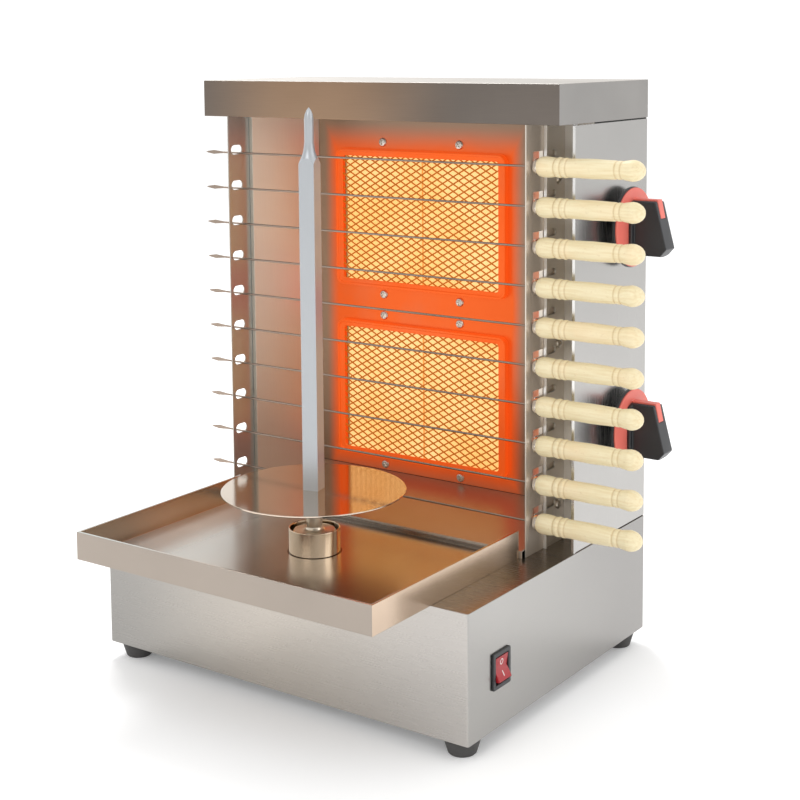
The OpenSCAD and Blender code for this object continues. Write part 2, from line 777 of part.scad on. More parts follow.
// Side of the grip: low at the pointer end, high and bevelled at the other
module grip_side(grow) {
  half = grip_len / 2;
  low = grip_h * 0.67;
  polygon([[-1, -half - 1], [grip_h - 8 + grow, -half - 1], [grip_h + grow, -half + 8],
    [low + grow, half + 1], [-1, half + 1]]);
}

// Black rim and bar grip, grooved for the pointer
module knob(z) {
  skirt_x = knob_x + rim_t + skirt_t;
  color(black) translate([0, knob_y, z]) difference() {
    union() {
      rod_x([knob_x, 0, 0], knob_r, rim_t);
      rod_x([knob_x + rim_t - 0.5, 0, 0], 12, skirt_t + 1);
      along_x(skirt_x, 3.5) grip_outline(grip_w + 9);
      intersection() {
        along_x(skirt_x, grip_h + 5) grip_outline(grip_w);
        translate([skirt_x, grip_w, 0]) rotate([90, 0, 0]) linear_extrude(height = 2 * grip_w) grip_side(0);
      }
    }
    rod_x([knob_x - 1, 0, 0], stem_r + 0.05, rim_t + skirt_t + 12);
    pointer(skirt_x, pointer_w, 0.1);
  }
}

// Red pointer that runs over the low end of the grip
module pointer(x, w, gap) {
  half = grip_len / 2;
  low = grip_h * 0.67;
  slope = grip_h * 0.33 / (2 * half - 7);
  translate([x, w / 2 + gap, 0]) rotate([90, 0, 0]) linear_extrude(height = w + 2 * gap) polygon([
    [-0.1, half - 2 - gap], [low - 1.6 - gap, half - 2 - gap], [low - 1.6 - gap + 14 * slope, half - 16],
    [low + 0.8 + 14 * slope, half - 16], [low + 0.8, half + 0.8], [-0.1, half + 0.8]]);
}

module knob_skirt(z) {
  x0 = knob_x + rim_t;
  color(red) translate([0, knob_y, z]) {
    difference() {
      rod_x([x0, 0, 0], knob_r - 0.8, skirt_t);
      rod_x([x0 - 1, 0, 0], 12.2, skirt_t + 2);
    }
    pointer(x0 + skirt_t, pointer_w, 0);
  }
}

// Bezel and housing of the rocker switch, with the holes for the paddle's pins
module switch_bezel() {
  open_w = switch_w - 2 * bezel_rim;
  open_h = switch_h - 2 * bezel_rim;
  color(black) difference() {
    union() {
      along_x(half_w, bezel_t) translate([switch_y, switch_z]) round_rect(switch_w, switch_h, 1.5);
      along_x(half_w - 20, 20) translate([switch_y, switch_z])
        square([open_w + 0.6, open_h + 0.6], center = true);
    }
    along_x(half_w - 12, 20) translate([switch_y, switch_z])
      square([open_w - 1, open_h - 1], center = true);
    rod_y([pivot_x, switch_y - switch_w, switch_z], pin_r + 0.05, 2 * switch_w);
  }
}

// Paddle with two faces that meet over its pins; the off side is pressed
module switch_rocker() {
  w = switch_w - 2 * bezel_rim - 1.6;
  h = switch_h - 2 * bezel_rim - 4;
  pins = switch_w - 2 * bezel_rim;
  color(red) {
    translate([pivot_x, switch_y + w / 2, switch_z]) rotate([90, 0, 0]) linear_extrude(height = w)
      rotate(switch_tilt) polygon([
        [-4, -h / 2 + 1], [8, -h / 2], [8.3, -h / 2 + 0.6], [5, 0], [8.3, h / 2 - 0.6], [8, h / 2],
        [-4, h / 2 - 1]]);
    rod_y([pivot_x, switch_y - pins / 2, switch_z], pin_r, pins);
  }
}

// Cable gland on the back of the base
module cable_gland() {
  color(black) translate([gland_x, half_d, gland_z]) rotate([-90, 0, 0]) rotate_extrude($fn = 48) polygon([
    [3.2, -8], [6, -8], [6, 0], [10, 0], [10, 4], [8, 4.5], [7.4, 15], [5.6, 17], [3.2, 17]]);
}

// ---- Drip pan ----

module drip_pan() {
  w = pan_w;
  hem = 2 * sheet;
  z1 = deck_z + pan_h;
  cx = spit_x;
  cy = spit_y;
  color(steel) difference() {
    union() {
      translate([pan_x0, pan_y0, deck_z]) cube([w, pan_d, sheet]);
      translate([pan_x0, pan_y0, deck_z]) cube([w, sheet, pan_h]);
      translate([pan_x0, pan_y1 - sheet, deck_z]) cube([w, sheet, pan_lip_h]);
      for (x = [pan_x0, pan_x1 - sheet]) translate([x, pan_y0, deck_z]) cube([sheet, pan_d, pan_h]);
      translate([pan_x0, pan_y0, z1 - hem_w]) cube([w, hem, hem_w]);
      for (x = [pan_x0, pan_x1 - hem]) translate([x, pan_y0, z1 - hem_w]) cube([hem, pan_d, hem_w]);
      translate([cx, cy, deck_z]) rotate_extrude($fn = 96) polygon([
        [collar_bore_r, 0], [collar_r, 0], [collar_r, sheet + collar_h - 0.4],
        [collar_r - 0.4, sheet + collar_h], [collar_bore_r + 0.4, sheet + collar_h],
        [collar_bore_r, sheet + collar_h - 0.4]]);
    }
    translate([cx, cy, deck_z - 1]) cylinder(r = collar_bore_r, h = sheet + 2, $fn = 96);
  }
}

// ---- Spit ----

// Spit: tang, flange, round neck, square bar and a turned shoulder that runs out into the point
module spit_rod() {
  flange_low = socket_top_z + fit;
  flange_top = deck_z + sheet + collar_h - 2.3;
  bar_low = disc_z + disc_t;
  bar_top = bar_low + spit_len;
  side = spit_side;
  r = spit_point_r;
  tip = shoulder_h + spit_point_len;
  color(steel) translate([spit_x, spit_y, 0]) rotate(spit_turn) {
    translate([-tang_side / 2, -tang_side / 2, socket_top_z - tang_len_z])
      cube([tang_side, tang_side, tang_len_z + 1]);
    rotate_extrude($fn = 64) polygon([
      [0, flange_low], [flange_r, flange_low], [flange_r, flange_top - 0.6], [flange_r - 0.6, flange_top],
      [spit_neck_r + 3, flange_top], [spit_neck_r + 1, flange_top + 1], [spit_neck_r, flange_top + 3.5],
      [spit_neck_r, bar_low], [0, bar_low]]);
    translate([-side / 2, -side / 2, bar_low]) cube([side, side, spit_len - 1]);
    intersection() {
      translate([-side / 2, -side / 2, bar_top - 1.5]) cube([side, side, tip + 5]);
      translate([0, 0, bar_top]) rotate_extrude($fn = 64) polygon([
        [0, -2], [side * 0.75, -2], [side * 0.75, -1], [side * 0.64, 2], [side * 0.5, 5.5],
        [side * 0.4, 9.5], [(side * 0.4 + r) / 2, 13], [r, shoulder_h], [r, tip - 10],
        [r * 0.84, tip - 6], [r * 0.5, tip - 2.5], [0.2, tip], [0, tip]]);
    }
  }
}

// Rest disc with a hub that hugs the neck
module spit_disc() {
  bore = spit_neck_r + 0.05;
  color(steel) translate([spit_x, spit_y, disc_z]) rotate_extrude($fn = 96) polygon([
    [bore, -4], [bore + 1.8, -4], [bore + 2.2, 0], [disc_r - 0.5, 0], [disc_r, 0.5],
    [disc_r, disc_t - 0.4], [disc_r - 0.4, disc_t], [bore, disc_t]]);
}

// ---- Skewers ----

// Steel skewer along X: blade, needle, neck, ferrule and the tang inside the handle
module skewer(i) {
  seat_x = plate_x;
  tip_x = -plate_x - point_reach;
  blade_x = tip_x + blade_len;
  neck_x = seat_x - sheet - 1;
  half = blade_w / 2;
  cup_r = ferrule_r - cup_wall;
  color(steel) translate([0, skewer_y, skewer_z(i)]) {
    translate([0, 0.6, 0]) rotate([90, 0, 0]) linear_extrude(height = 1.2) polygon([
      [tip_x, 0], [tip_x + 3, half * 0.45], [tip_x + blade_len * 0.45, half], [blade_x, needle_r * 0.8],
      [blade_x + 4, 0], [blade_x, -needle_r * 0.8], [tip_x + blade_len * 0.45, -half],
      [tip_x + 3, -half * 0.45]]);
    rod_x([blade_x, 0, 0], needle_r, neck_x - blade_x);
    rod_x([neck_x, 0, 0], neck_r, seat_x + 1 - neck_x);
    translate([seat_x + rest_gap, 0, 0]) rotate([0, 90, 0]) rotate_extrude($fn = 64) polygon([
      [0, 0], [ferrule_r * 0.62, 0], [ferrule_r * 0.86, ferrule_len * 0.22], [ferrule_r, ferrule_len * 0.6],
      [ferrule_r, ferrule_len], [cup_r, ferrule_len], [cup_r, ferrule_len * 0.5],
      [tang_r, ferrule_len * 0.5], [tang_r, ferrule_len + tang_len], [0, ferrule_len + tang_len]]);
  }
}

// Turned outline of the handle: distance from the ferrule, and radius as a share of the largest radius
handle_keys = [[0, 0.8], [1.4, 0.91], [4, 0.98], [7, 1], [12, 0.97], [16.2, 0.9], [17.2, 0.83],
  [18.4, 0.94], [20.2, 0.98], [22, 0.94], [23.2, 0.86], [24.6, 0.93], [26.2, 0.97], [27.8, 0.93],
  [28.8, 0.89], [52, 0.945], [73, 0.885], [74.6, 0.8], [76, 0.87], [78.4, 0.87], [79.8, 0.82],
  [81.6, 0.89], [88.6, 1]];

// Eased point between two keys
function eased(a, b, s) =
  let (e = s * s * (3 - 2 * s))
  [a[0] + (b[0] - a[0]) * s, a[1] + (b[1] - a[1]) * e];

function handle_curve(k) = [for (i = [0:len(k) - 2], s = [0, 0.5]) eased(k[i], k[i + 1], s)];

// Wooden handle with a spigot in the ferrule and a bore for the tang
module handle(i) {
  x0 = plate_x + rest_gap + ferrule_len;
  spigot = ferrule_len * 0.5 - 0.1;
  stretch = handle_len / 99.8;
  last = handle_keys[len(handle_keys) - 1];
  ball = handle_len - last[0] * stretch;
  curve = [for (p = handle_curve(handle_keys)) [p[1] * handle_r, p[0] * stretch]];
  end = [for (a = [0:15:90]) [handle_r * cos(a), last[0] * stretch + ball * sin(a)]];
  bore = tang_r + 0.05;
  cup_r = ferrule_r - cup_wall - 0.05;
  color(wood) translate([x0, skewer_y, skewer_z(i)]) rotate([0, 90, 0]) rotate_extrude($fn = 64)
    polygon(concat([[bore, -spigot], [cup_r, -spigot], [cup_r, 0]], curve, end,
      [[0, tang_len + 0.2], [bore, tang_len + 0.2]]));
}

base_shell();
base_floor();
rubber_feet();
cover_screws();
motor_bracket();
gear_motor();
drive_socket();
skewer_seat_plate();
skewer_tip_plate();
right_guard_plate();
right_outer_panel();
left_outer_panel();
side_reflectors();
burner_panel();
drip_apron();
rear_panel();
canopy();
canopy_ceiling();
gas_box(burner_zs[0]);  // upper_gas_box
gas_box(burner_zs[1]);  // lower_gas_box
tiles(burner_zs[0]);  // upper_tiles
tiles(burner_zs[1]);  // lower_tiles
guard(burner_zs[0]);  // upper_guard
guard(burner_zs[1]);  // lower_guard
burner_frame(burner_zs[0]);  // upper_frame
burner_frame(burner_zs[1]);  // lower_frame
gas_manifold();
gas_valves();
cable_gland();
switch_bezel();
switch_rocker();
drip_pan();
spit_rod();
spit_disc();
knob(knob_zs[0]);  // upper_knob
knob(knob_zs[1]);  // lower_knob
knob_skirt(knob_zs[0]);  // upper_knob_skirt
knob_skirt(knob_zs[1]);  // lower_knob_skirt
valve_stem(knob_zs[0]);  // upper_valve_stem
valve_stem(knob_zs[1]);  // lower_valve_stem
skewer(0);  // skewer_01
skewer(1);  // skewer_02
skewer(2);  // skewer_03
skewer(3);  // skewer_04
skewer(4);  // skewer_05
skewer(5);  // skewer_06
skewer(6);  // skewer_07
skewer(7);  // skewer_08
skewer(8);  // skewer_09
skewer(9);  // skewer_10
handle(0);  // handle_01
handle(1);  // handle_02
handle(2);  // handle_03
handle(3);  // handle_04
handle(4);  // handle_05
handle(5);  // handle_06
handle(6);  // handle_07
handle(7);  // handle_08
handle(8);  // handle_09
handle(9);  // handle_10
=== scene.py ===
import json
import math
import bpy
import bmesh
from mathutils import Vector, Matrix


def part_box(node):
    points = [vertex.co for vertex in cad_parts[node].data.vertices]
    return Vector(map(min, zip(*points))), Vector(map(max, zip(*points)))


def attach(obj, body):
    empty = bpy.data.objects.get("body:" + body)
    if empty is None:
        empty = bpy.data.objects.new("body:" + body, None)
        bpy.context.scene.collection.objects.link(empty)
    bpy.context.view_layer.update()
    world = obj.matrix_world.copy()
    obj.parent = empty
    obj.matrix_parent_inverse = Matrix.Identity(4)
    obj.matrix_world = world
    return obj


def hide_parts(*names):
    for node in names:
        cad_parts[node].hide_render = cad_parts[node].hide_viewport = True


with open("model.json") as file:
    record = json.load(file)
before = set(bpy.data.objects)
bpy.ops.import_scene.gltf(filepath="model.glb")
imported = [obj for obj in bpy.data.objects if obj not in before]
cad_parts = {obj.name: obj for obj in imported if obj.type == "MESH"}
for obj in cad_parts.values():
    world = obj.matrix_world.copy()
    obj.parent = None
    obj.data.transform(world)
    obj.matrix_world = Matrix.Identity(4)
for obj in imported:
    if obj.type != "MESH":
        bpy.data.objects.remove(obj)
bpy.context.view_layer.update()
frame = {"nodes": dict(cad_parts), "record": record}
nodes = frame["nodes"]
slotOf = {part["node"]: part["material_slot"] for part in frame["record"]["subparts"]}
bodyOf = {name: body for body, names in frame["record"]["behaviour"]["bodies"].items() for name in names}
mm = 0.001
upperBurnerZ, lowerBurnerZ, burnerX = 0.4008, 0.2275, -0.010      # centres of the two burners
skewerNames = [f"skewer_{k:02d}" for k in range(1, 11)]
handleNames = [f"handle_{k:02d}" for k in range(1, 11)]
turnStarts, turnEnds = 0.35, 0.9        # how far a face turns before and until it takes its side's tone of painted light and shade
brushFine, brushLong = 260.0, 5.0       # how close brush lines lie, and how close their ends
print("stage: frame loaded")


class Link:
    # a value in a node tree: a socket, or a plain number or colour
    def __init__(self, shop, value):
        self.shop, self.value = shop, value

    def maths(self, operation, other=None, clamp=False):
        values = dict(enumerate(v for v in (self, other) if v is not None))
        return self.shop.node("ShaderNodeMath", {"operation": operation, "use_clamp": clamp}, values)

    def __add__(self, other): return self.maths("ADD", other)
    def __radd__(self, other): return self.maths("ADD", other)
    def __sub__(self, other): return self.maths("SUBTRACT", other)
    def __rsub__(self, other): return self.shop.wrap(other).maths("SUBTRACT", self)
    def __mul__(self, other): return self.maths("MULTIPLY", other)
    def __rmul__(self, other): return self.maths("MULTIPLY", other)
    def __truediv__(self, other): return self.maths("DIVIDE", other)
    def __mod__(self, other): return self.maths("MODULO", other)
    def __abs__(self): return self.maths("ABSOLUTE")
    def clamped(self): return self.maths("ADD", 0.0, clamp=True)
    def rounded(self): return self.maths("ROUND")
    def sine(self): return self.maths("SINE")
    def most(self, other): return self.maths("MAXIMUM", other)
    def faced(self): return self.step(turnStarts, turnEnds)

    def step(self, low, high):      # smooth 0 to 1 between two values
        return self.shop.node("ShaderNodeMapRange", {"interpolation_type": "SMOOTHSTEP"},
                              {"Value": self, "From Min": low, "From Max": high})


class NodeShop:
    # builds one node tree; each method hands back a Link
    def __init__(self, tree, outKind):
        self.tree = tree
        self.tree.nodes.clear()
        self.out = self.tree.nodes.new(outKind)

    def wrap(self, value):
        return value if isinstance(value, Link) else Link(self, value)

    def fill(self, socket, value):
        value = value.value if isinstance(value, Link) else value
        if isinstance(value, bpy.types.NodeSocket):
            self.tree.links.new(value, socket)
        elif isinstance(value, (tuple, list)) and len(value) == 3 and socket.type == "RGBA":
            socket.default_value = (*value, 1)
        else:
            socket.default_value = value

    def node(self, kind, settings=None, sockets=None, output=0):
        made = self.tree.nodes.new(kind)
        for key, value in (settings or {}).items():
            setattr(made, key, value)
        for key, value in (sockets or {}).items():
            self.fill(made.inputs[key], value)
        return Link(self, made.outputs[output])

    def parts(self, vector):
        split = self.node("ShaderNodeSeparateXYZ", sockets={0: vector}).value.node
        return [Link(self, split.outputs[k]) for k in range(3)]

    def blend(self, factor, first, second, mode="MIX"):
        settings = {"data_type": "RGBA", "blend_type": mode}
        return self.node("ShaderNodeMix", settings, {0: factor, 6: first, 7: second}, 2)


class MaterialShop(NodeShop):
    def __init__(self, name):
        self.material = bpy.data.materials.new(name)
        self.material.use_nodes = True
        super().__init__(self.material.node_tree, "ShaderNodeOutputMaterial")

    def place(self): return self.node("ShaderNodeTexCoord", output="Object")
    def facing(self): return self.node("ShaderNodeTexCoord", output="Normal")

    def stretched(self, vector, scale):
        return self.node("ShaderNodeMapping", sockets={"Vector": vector, "Scale": scale})

    def noise(self, vector, scale, detail=2.0, rough=0.5):
        values = {"Vector": vector, "Scale": scale, "Detail": detail, "Roughness": rough}
        return self.node("ShaderNodeTexNoise", sockets=values)

    def bump(self, height, strength, distance):
        values = {"Height": height, "Strength": strength, "Distance": distance}
        return self.node("ShaderNodeBump", sockets=values)

    def brushed(self, place, along):
        scale = [brushFine] * 3
        scale[along] = brushLong
        return self.noise(self.stretched(place, scale), 6.0, 3.0, 0.6)

    def finish(self, **sockets):
        values = {key.replace("_", " "): value for key, value in sockets.items()}
        self.tree.links.new(self.node("ShaderNodeBsdfPrincipled", sockets=values).value, self.out.inputs[0])
        return self.material


class ShapeShop(NodeShop):
    # a Geometry Nodes tree with named sizes, grown into a plain mesh
    def __init__(self, name, sizes):
        super().__init__(bpy.data.node_groups.new(name, "GeometryNodeTree"), "NodeGroupOutput")
        face = self.tree.interface
        face.new_socket("Geometry", in_out="INPUT", socket_type="NodeSocketGeometry")
        face.new_socket("Geometry", in_out="OUTPUT", socket_type="NodeSocketGeometry")
        self.sizes, self.keys = sizes, {}
        for key, value in sizes.items():
            kind = "NodeSocketInt" if isinstance(value, int) else "NodeSocketFloat"
            self.keys[key] = face.new_socket(key, in_out="INPUT", socket_type=kind).identifier
        self.entry = self.tree.nodes.new("NodeGroupInput")

    def size(self, key):
        return Link(self, self.entry.outputs[key])

    def point(self, x=0.0, y=0.0, z=0.0):
        return self.node("ShaderNodeCombineXYZ", sockets={0: x, 1: y, 2: z})

    def close(self, shape, material):
        plain = self.node("GeometryNodeRealizeInstances", sockets={0: shape})
        done = self.node("GeometryNodeSetMaterial", sockets={"Geometry": plain, "Material": material})
        self.tree.links.new(done.value, self.out.inputs[0])

    def grow(self, name, mesh=None):
        holder = newObject(name, mesh or bpy.data.meshes.new(name))
        modifier = holder.modifiers.new("shape", "NODES")
        modifier.node_group = self.tree
        for key, value in self.sizes.items():
            modifier[self.keys[key]] = value
        grown = bpy.data.meshes.new_from_object(holder.evaluated_get(bpy.context.evaluated_depsgraph_get()))
        holder.modifiers.clear()
        holder.data = grown
        return holder


def newObject(name, data):
    made = bpy.data.objects.new(name, data)
    bpy.context.collection.objects.link(made)
    return made


def fit(piece, body, slot, *replaced):
    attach(piece, body)
    if replaced:
        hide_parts(*replaced)


def sheetSteel(name, front, side, top, rough, along=0, grain=0.05, cloudy=0.10, metallic=1.0, seamShadeFromX=None):
    # rolled sheet with painted light and shade: a tone for each way it faces; fine brush lines along one
    # axis, soft rolling clouds
    shop = MaterialShop(name)
    place = shop.place()
    nx, _, nz = shop.parts(shop.facing())
    # painted light and shade: front, side and top faces each take their own tone
    tone = shop.blend(abs(nx).faced(), front, side)
    tone = shop.blend(nz.faced(), tone, top)
    if seamShadeFromX:      # painted shade: faces that lie in from the outer face are painted near black, standing in for the shadow in the seam
        behind = (shop.parts(place)[0] - seamShadeFromX).maths("LESS_THAN", 0.0)
        tone = shop.blend(behind * nx.step(0.4, 0.8), tone, (0.02, 0.02, 0.02))
    lines = shop.brushed(place, along)
    cloud = shop.noise(place, 9.0, 2.0)
    shade = (lines - 0.5) * 0.08 + (cloud - 0.5) * cloudy * 2 + 0.98
    return shop.finish(Base_Color=shop.blend(1.0, tone, shade, "MULTIPLY"), Metallic=metallic,
                       Roughness=(lines - 0.5) * grain * 2 + rough + (cloud - 0.5) * 0.04,
                       Normal=shop.bump(lines, 0.05, 0.0002))


def evenSteel(name, colour, rough, along=0, grain=0.04, cloudy=0.06):
    return sheetSteel(name, colour, colour, colour, rough, along, grain, cloudy)


# painted light and shade of the plinth, by where a face lies and which way it points
baseTones = {
    "left": (0.30, 0.29, 0.275), "middle": (0.48, 0.44, 0.395), "right": (0.48, 0.455, 0.43),
    "near": (0.41, 0.40, 0.385), "far": (0.31, 0.30, 0.29), "deck": (0.32, 0.28, 0.24),
    "halfWide": 0.2, "halfDeep": 0.155,
}


def baseSteel(s):
    # plinth with painted light and shade: its front painted darker to the left and its sides darker to the
    # back, as if a window lit it, and its deck a darker tone of its own
    shop = MaterialShop("baseSteel")
    place = shop.place()
    x, y, _ = shop.parts(place)
    nx, _, nz = shop.parts(shop.facing())
    tone = shop.blend(x.step(-s["halfWide"], 0.0), s["left"], s["middle"])
    tone = shop.blend(x.step(0.0, s["halfWide"]), tone, s["right"])
    side = shop.blend(y.step(-s["halfDeep"], s["halfDeep"]), s["near"], s["far"])
    tone = shop.blend(abs(nx).faced(), tone, side)
    tone = shop.blend(nz.faced(), tone, s["deck"])
    lines = shop.brushed(place, 0)
    cloud = shop.noise(place, 7.0, 2.0)
    shade = (lines - 0.5) * 0.04 + (cloud - 0.5) * 0.16 + 0.98
    return shop.finish(Base_Color=shop.blend(1.0, tone, shade, "MULTIPLY"), Metallic=1.0,
                       Roughness=(lines - 0.5) * 0.04 + 0.27, Normal=shop.bump(lines, 0.02, 0.0002))


panTones = {
    "front": (0.34, 0.295, 0.255), "side": (0.64, 0.50, 0.385), "inner": (0.10, 0.105, 0.11),
    "floor": (0.43, 0.375, 0.32), "floorLeft": (0.48, 0.50, 0.47), "leftSpan": (-0.15, 0.0),
    "collar": (1.0, 0.84, 0.65), "collarAt": (0.005, -0.1035), "collarReach": 0.024, "collarEdge": 0.4 * mm,
    "seam": (0.10, 0.06, 0.035), "seamReach": 0.0246, "seamTop": 0.1266, "seamEdge": 0.3 * mm,
    "middle": (0.0045, -0.127),
}


def panSteel(s):
    # folded tray with painted light and shade: a tone for each way a wall faces, inner walls painted darker
    # than the outer ones as their shade, the floor's left part painted paler and greyer, and a bright turned
    # collar over a thin dark seam that is painted shade
    shop = MaterialShop("panSteel")
    place = shop.place()
    x, y, z = shop.parts(place)
    nx, ny, nz = shop.parts(shop.facing())
    inward = ((x - s["middle"][0]) * nx).most((y - s["middle"][1]) * ny).maths("LESS_THAN", -0.002)
    flat = nz.faced()
    leftward = 1.0 - x.step(*s["leftSpan"])
    dx, dy = x - s["collarAt"][0], y - s["collarAt"][1]
    away = (dx * dx + dy * dy).maths("SQRT")
    collar = 1.0 - away.step(s["collarReach"] - s["collarEdge"], s["collarReach"])
    # painted shade: a thin ring painted near black in the crease where the collar meets the floor
    seam = 1.0 - away.step(s["seamReach"] - s["seamEdge"], s["seamReach"])
    seam = seam * (1.0 - z.step(s["seamTop"], s["seamTop"] + s["seamEdge"]))
    # painted light and shade: tones by facing, the inner walls dark, the floor's left part paler
    tone = shop.blend(abs(nx).faced(), s["front"], s["side"])
    tone = shop.blend(inward, tone, s["inner"])
    tone = shop.blend(flat, tone, shop.blend(leftward, s["floor"], s["floorLeft"]))
    tone = shop.blend(seam, shop.blend(collar, tone, s["collar"]), s["seam"])
    lines = shop.brushed(place, 0)
    smear = shop.noise(place, 14.0, 3.0)
    shade = (lines - 0.5) * 0.08 + (smear - 0.5) * 0.2 + 0.98
    dull = (inward * 0.95).most(flat * leftward * 0.5) * (1.0 - collar)
    return shop.finish(Base_Color=shop.blend(1.0, tone, shade, "MULTIPLY"), Metallic=1.0 - dull,
                       Roughness=(smear - 0.5) * 0.08 + 0.25 + inward * 0.25 - collar * 0.14,
                       Normal=shop.bump(lines, 0.04, 0.0002))


skewerTones = {"needle": (0.34, 0.27, 0.22), "ferrule": (0.80, 0.79, 0.77), "ferruleSpan": (0.166, 0.168)}


def skewerMetal(s):
    # drawn wire painted a mottled dark brown along the needle, with a bright ferrule at the handle
    shop = MaterialShop("skewerMetal")
    place = shop.place()
    ferrule = shop.parts(place)[0].step(*s["ferruleSpan"])
    blotch = shop.noise(place, 40.0, 2.0)
    tone = shop.blend(ferrule, s["needle"], s["ferrule"])
    return shop.finish(Base_Color=shop.blend(1.0, tone, (blotch - 0.5) * 0.3 + 1.0, "MULTIPLY"), Metallic=1.0,
                       Roughness=0.30 - ferrule * 0.14)


spitTones = {"bar": (0.46, 0.48, 0.50), "foot": (1.0, 0.90, 0.74), "footTop": 0.1815, "footEdge": 0.5 * mm}


def spitSteel(s):
    # grey drawn bar on a turned foot; the foot's near-white colour is partly its more polished finish and
    # partly a painted reflection lifting it out of the shade inside the collar
    shop = MaterialShop("spitSteel")
    place = shop.place()
    foot = 1.0 - shop.parts(place)[2].step(s["footTop"], s["footTop"] + s["footEdge"])
    lines = shop.brushed(place, 2)
    shade = (lines - 0.5) * 0.08 + 0.98
    tone = shop.blend(1.0, shop.blend(foot, s["bar"], s["foot"]), shade, "MULTIPLY")
    return shop.finish(Base_Color=tone, Metallic=0.55 + foot * 0.1,
                       Roughness=(lines - 0.5) * 0.1 + 0.34 - foot * 0.16)


canopyTones = {
    "edge": (0.185, 0.16, 0.14), "middle": (0.35, 0.23, 0.15), "side": (0.36, 0.35, 0.34),
    "top": (0.60, 0.575, 0.545), "grazing": (0.62, 0.60, 0.57), "middleX": -0.06, "burnerLightSpan": (0.02, 0.17),
}


def canopySteel(s):
    # painted light and shade: the front is painted dark with a warm patch below its middle for the burners'
    # light, and the sides and top painted lighter tones of their own
    shop = MaterialShop("canopySteel")
    place = shop.place()
    nx, ny, nz = shop.parts(shop.facing())
    warm = 1.0 - abs(shop.parts(place)[0] - s["middleX"]).step(*s["burnerLightSpan"])
    tone = shop.blend(warm, s["edge"], s["middle"])
    tone = shop.blend(abs(nx).most(ny).faced(), tone, s["side"])
    tone = shop.blend(nz.faced(), tone, s["top"])
    lines = shop.brushed(place, 0)
    cloud = shop.noise(place, 12.0, 2.0)
    shade = (lines - 0.5) * 0.14 + (cloud - 0.5) * 0.3 + 0.98
    return shop.finish(Base_Color=shop.blend(1.0, tone, shade, "MULTIPLY"), Metallic=1.0,
                       Specular_Tint=s["grazing"], Roughness=(lines - 0.5) * 0.1 + 0.32,
                       Normal=shop.bump(lines, 0.05, 0.0002))


# painted light of the burners on the steel round them: an orange tone and glow
burnerLitTones = {
    "unlitTone": (0.32, 0.225, 0.155), "burnerLitTone": (0.36, 0.075, 0.015), "dark": (0.03, 0.010, 0.004),
    "glow": (1.0, 0.105, 0.008), "strength": 0.56,
    "halfWide": 0.100, "halfHigh": 0.062, "fadeSide": 0.019, "fadeUp": 0.036,
}


def burnerLitSteel(name, s, strength=1.0):
    # painted light: the steel round the burners is painted orange with a glow, standing in for the burners'
    # light on it, and fades to warm grey away from them
    shop = MaterialShop(name)
    place = shop.place()
    x, _, z = shop.parts(place)
    up = (z - upperBurnerZ).most(lowerBurnerZ - z)
    away = abs(x - burnerX).step(s["halfWide"], s["halfWide"] + s["fadeSide"])
    away = away.most(up.step(s["halfHigh"], s["halfHigh"] + s["fadeUp"]))
    mottled = shop.noise(place, 20.0, 3.0)
    glow = ((1.0 - away) * (mottled * 0.5 + 0.75)).clamped()
    tone = shop.blend(glow, s["unlitTone"], s["burnerLitTone"])
    shine = shop.blend(glow, s["dark"], s["glow"])
    return shop.finish(Base_Color=tone, Metallic=0.8, Roughness=mottled * 0.1 + 0.26, Emission_Color=shine,
                       Emission_Strength=s["strength"] * strength)


ceramicTones = {
    "face": (0.55, 0.36, 0.16), "port": (0.45, 0.22, 0.06), "portPitch": 2600.0, "seamWide": 2 * mm,
    "glow": (1.0, 0.56, 0.17), "glowHot": (1.0, 0.70, 0.30), "glowPort": (0.85, 0.32, 0.04),
    "glowSeam": (0.70, 0.22, 0.03), "strength": 0.95,
}


def burnerCeramic(s):
    # cream plaques with rows of fine gas ports, hotter in patches, and a dark seam between the two
    shop = MaterialShop("burnerCeramic")
    place = shop.place()
    x, _, z = shop.parts(place)
    ports = ((x * s["portPitch"]).sine() * (z * s["portPitch"]).sine()).step(0.4, 0.8)
    heat = shop.noise(place, 18.0, 3.0)
    seam = abs(x - burnerX).step(0.0, s["seamWide"])
    tone = shop.blend(ports, s["face"], s["port"])
    shine = shop.blend(heat.step(0.3, 0.7), s["glow"], s["glowHot"])
    shine = shop.blend(ports * 0.35, shine, s["glowPort"])
    shine = shop.blend(1.0 - seam, shine, s["glowSeam"])
    return shop.finish(Base_Color=tone, Roughness=0.8, Emission_Color=shine, Emission_Strength=s["strength"])


guardTones = {"dark": (0.24, 0.08, 0.015), "light": (0.42, 0.16, 0.03), "glow": (0.60, 0.16, 0.006),
              "strength": 0.50}


def guardWire(s):
    # mottled brown-orange wire with an orange glow on all of it: painted light standing in for the burners'
    # light on it
    shop = MaterialShop("guardWire")
    mottled = shop.noise(shop.place(), 60.0, 3.0)
    tone = shop.blend(mottled, s["dark"], s["light"])
    return shop.finish(Base_Color=tone, Metallic=0.6, Roughness=mottled * 0.2 + 0.4, Emission_Color=s["glow"],
                       Emission_Strength=s["strength"])


woodTones = {       # grooves are measured from the handle's inner end, in millimetres
    "pale": (0.84, 0.74, 0.49), "grain": (0.78, 0.65, 0.39), "warm": (0.90, 0.66, 0.40),
    "freckle": (0.52, 0.34, 0.16), "grooveShade": (0.50, 0.33, 0.15), "handleStart": 174.2,
    "grooveAt": (17.2, 23.2, 28.8, 74.6, 79.8), "grooveSpan": (0.25, 1.1),
}


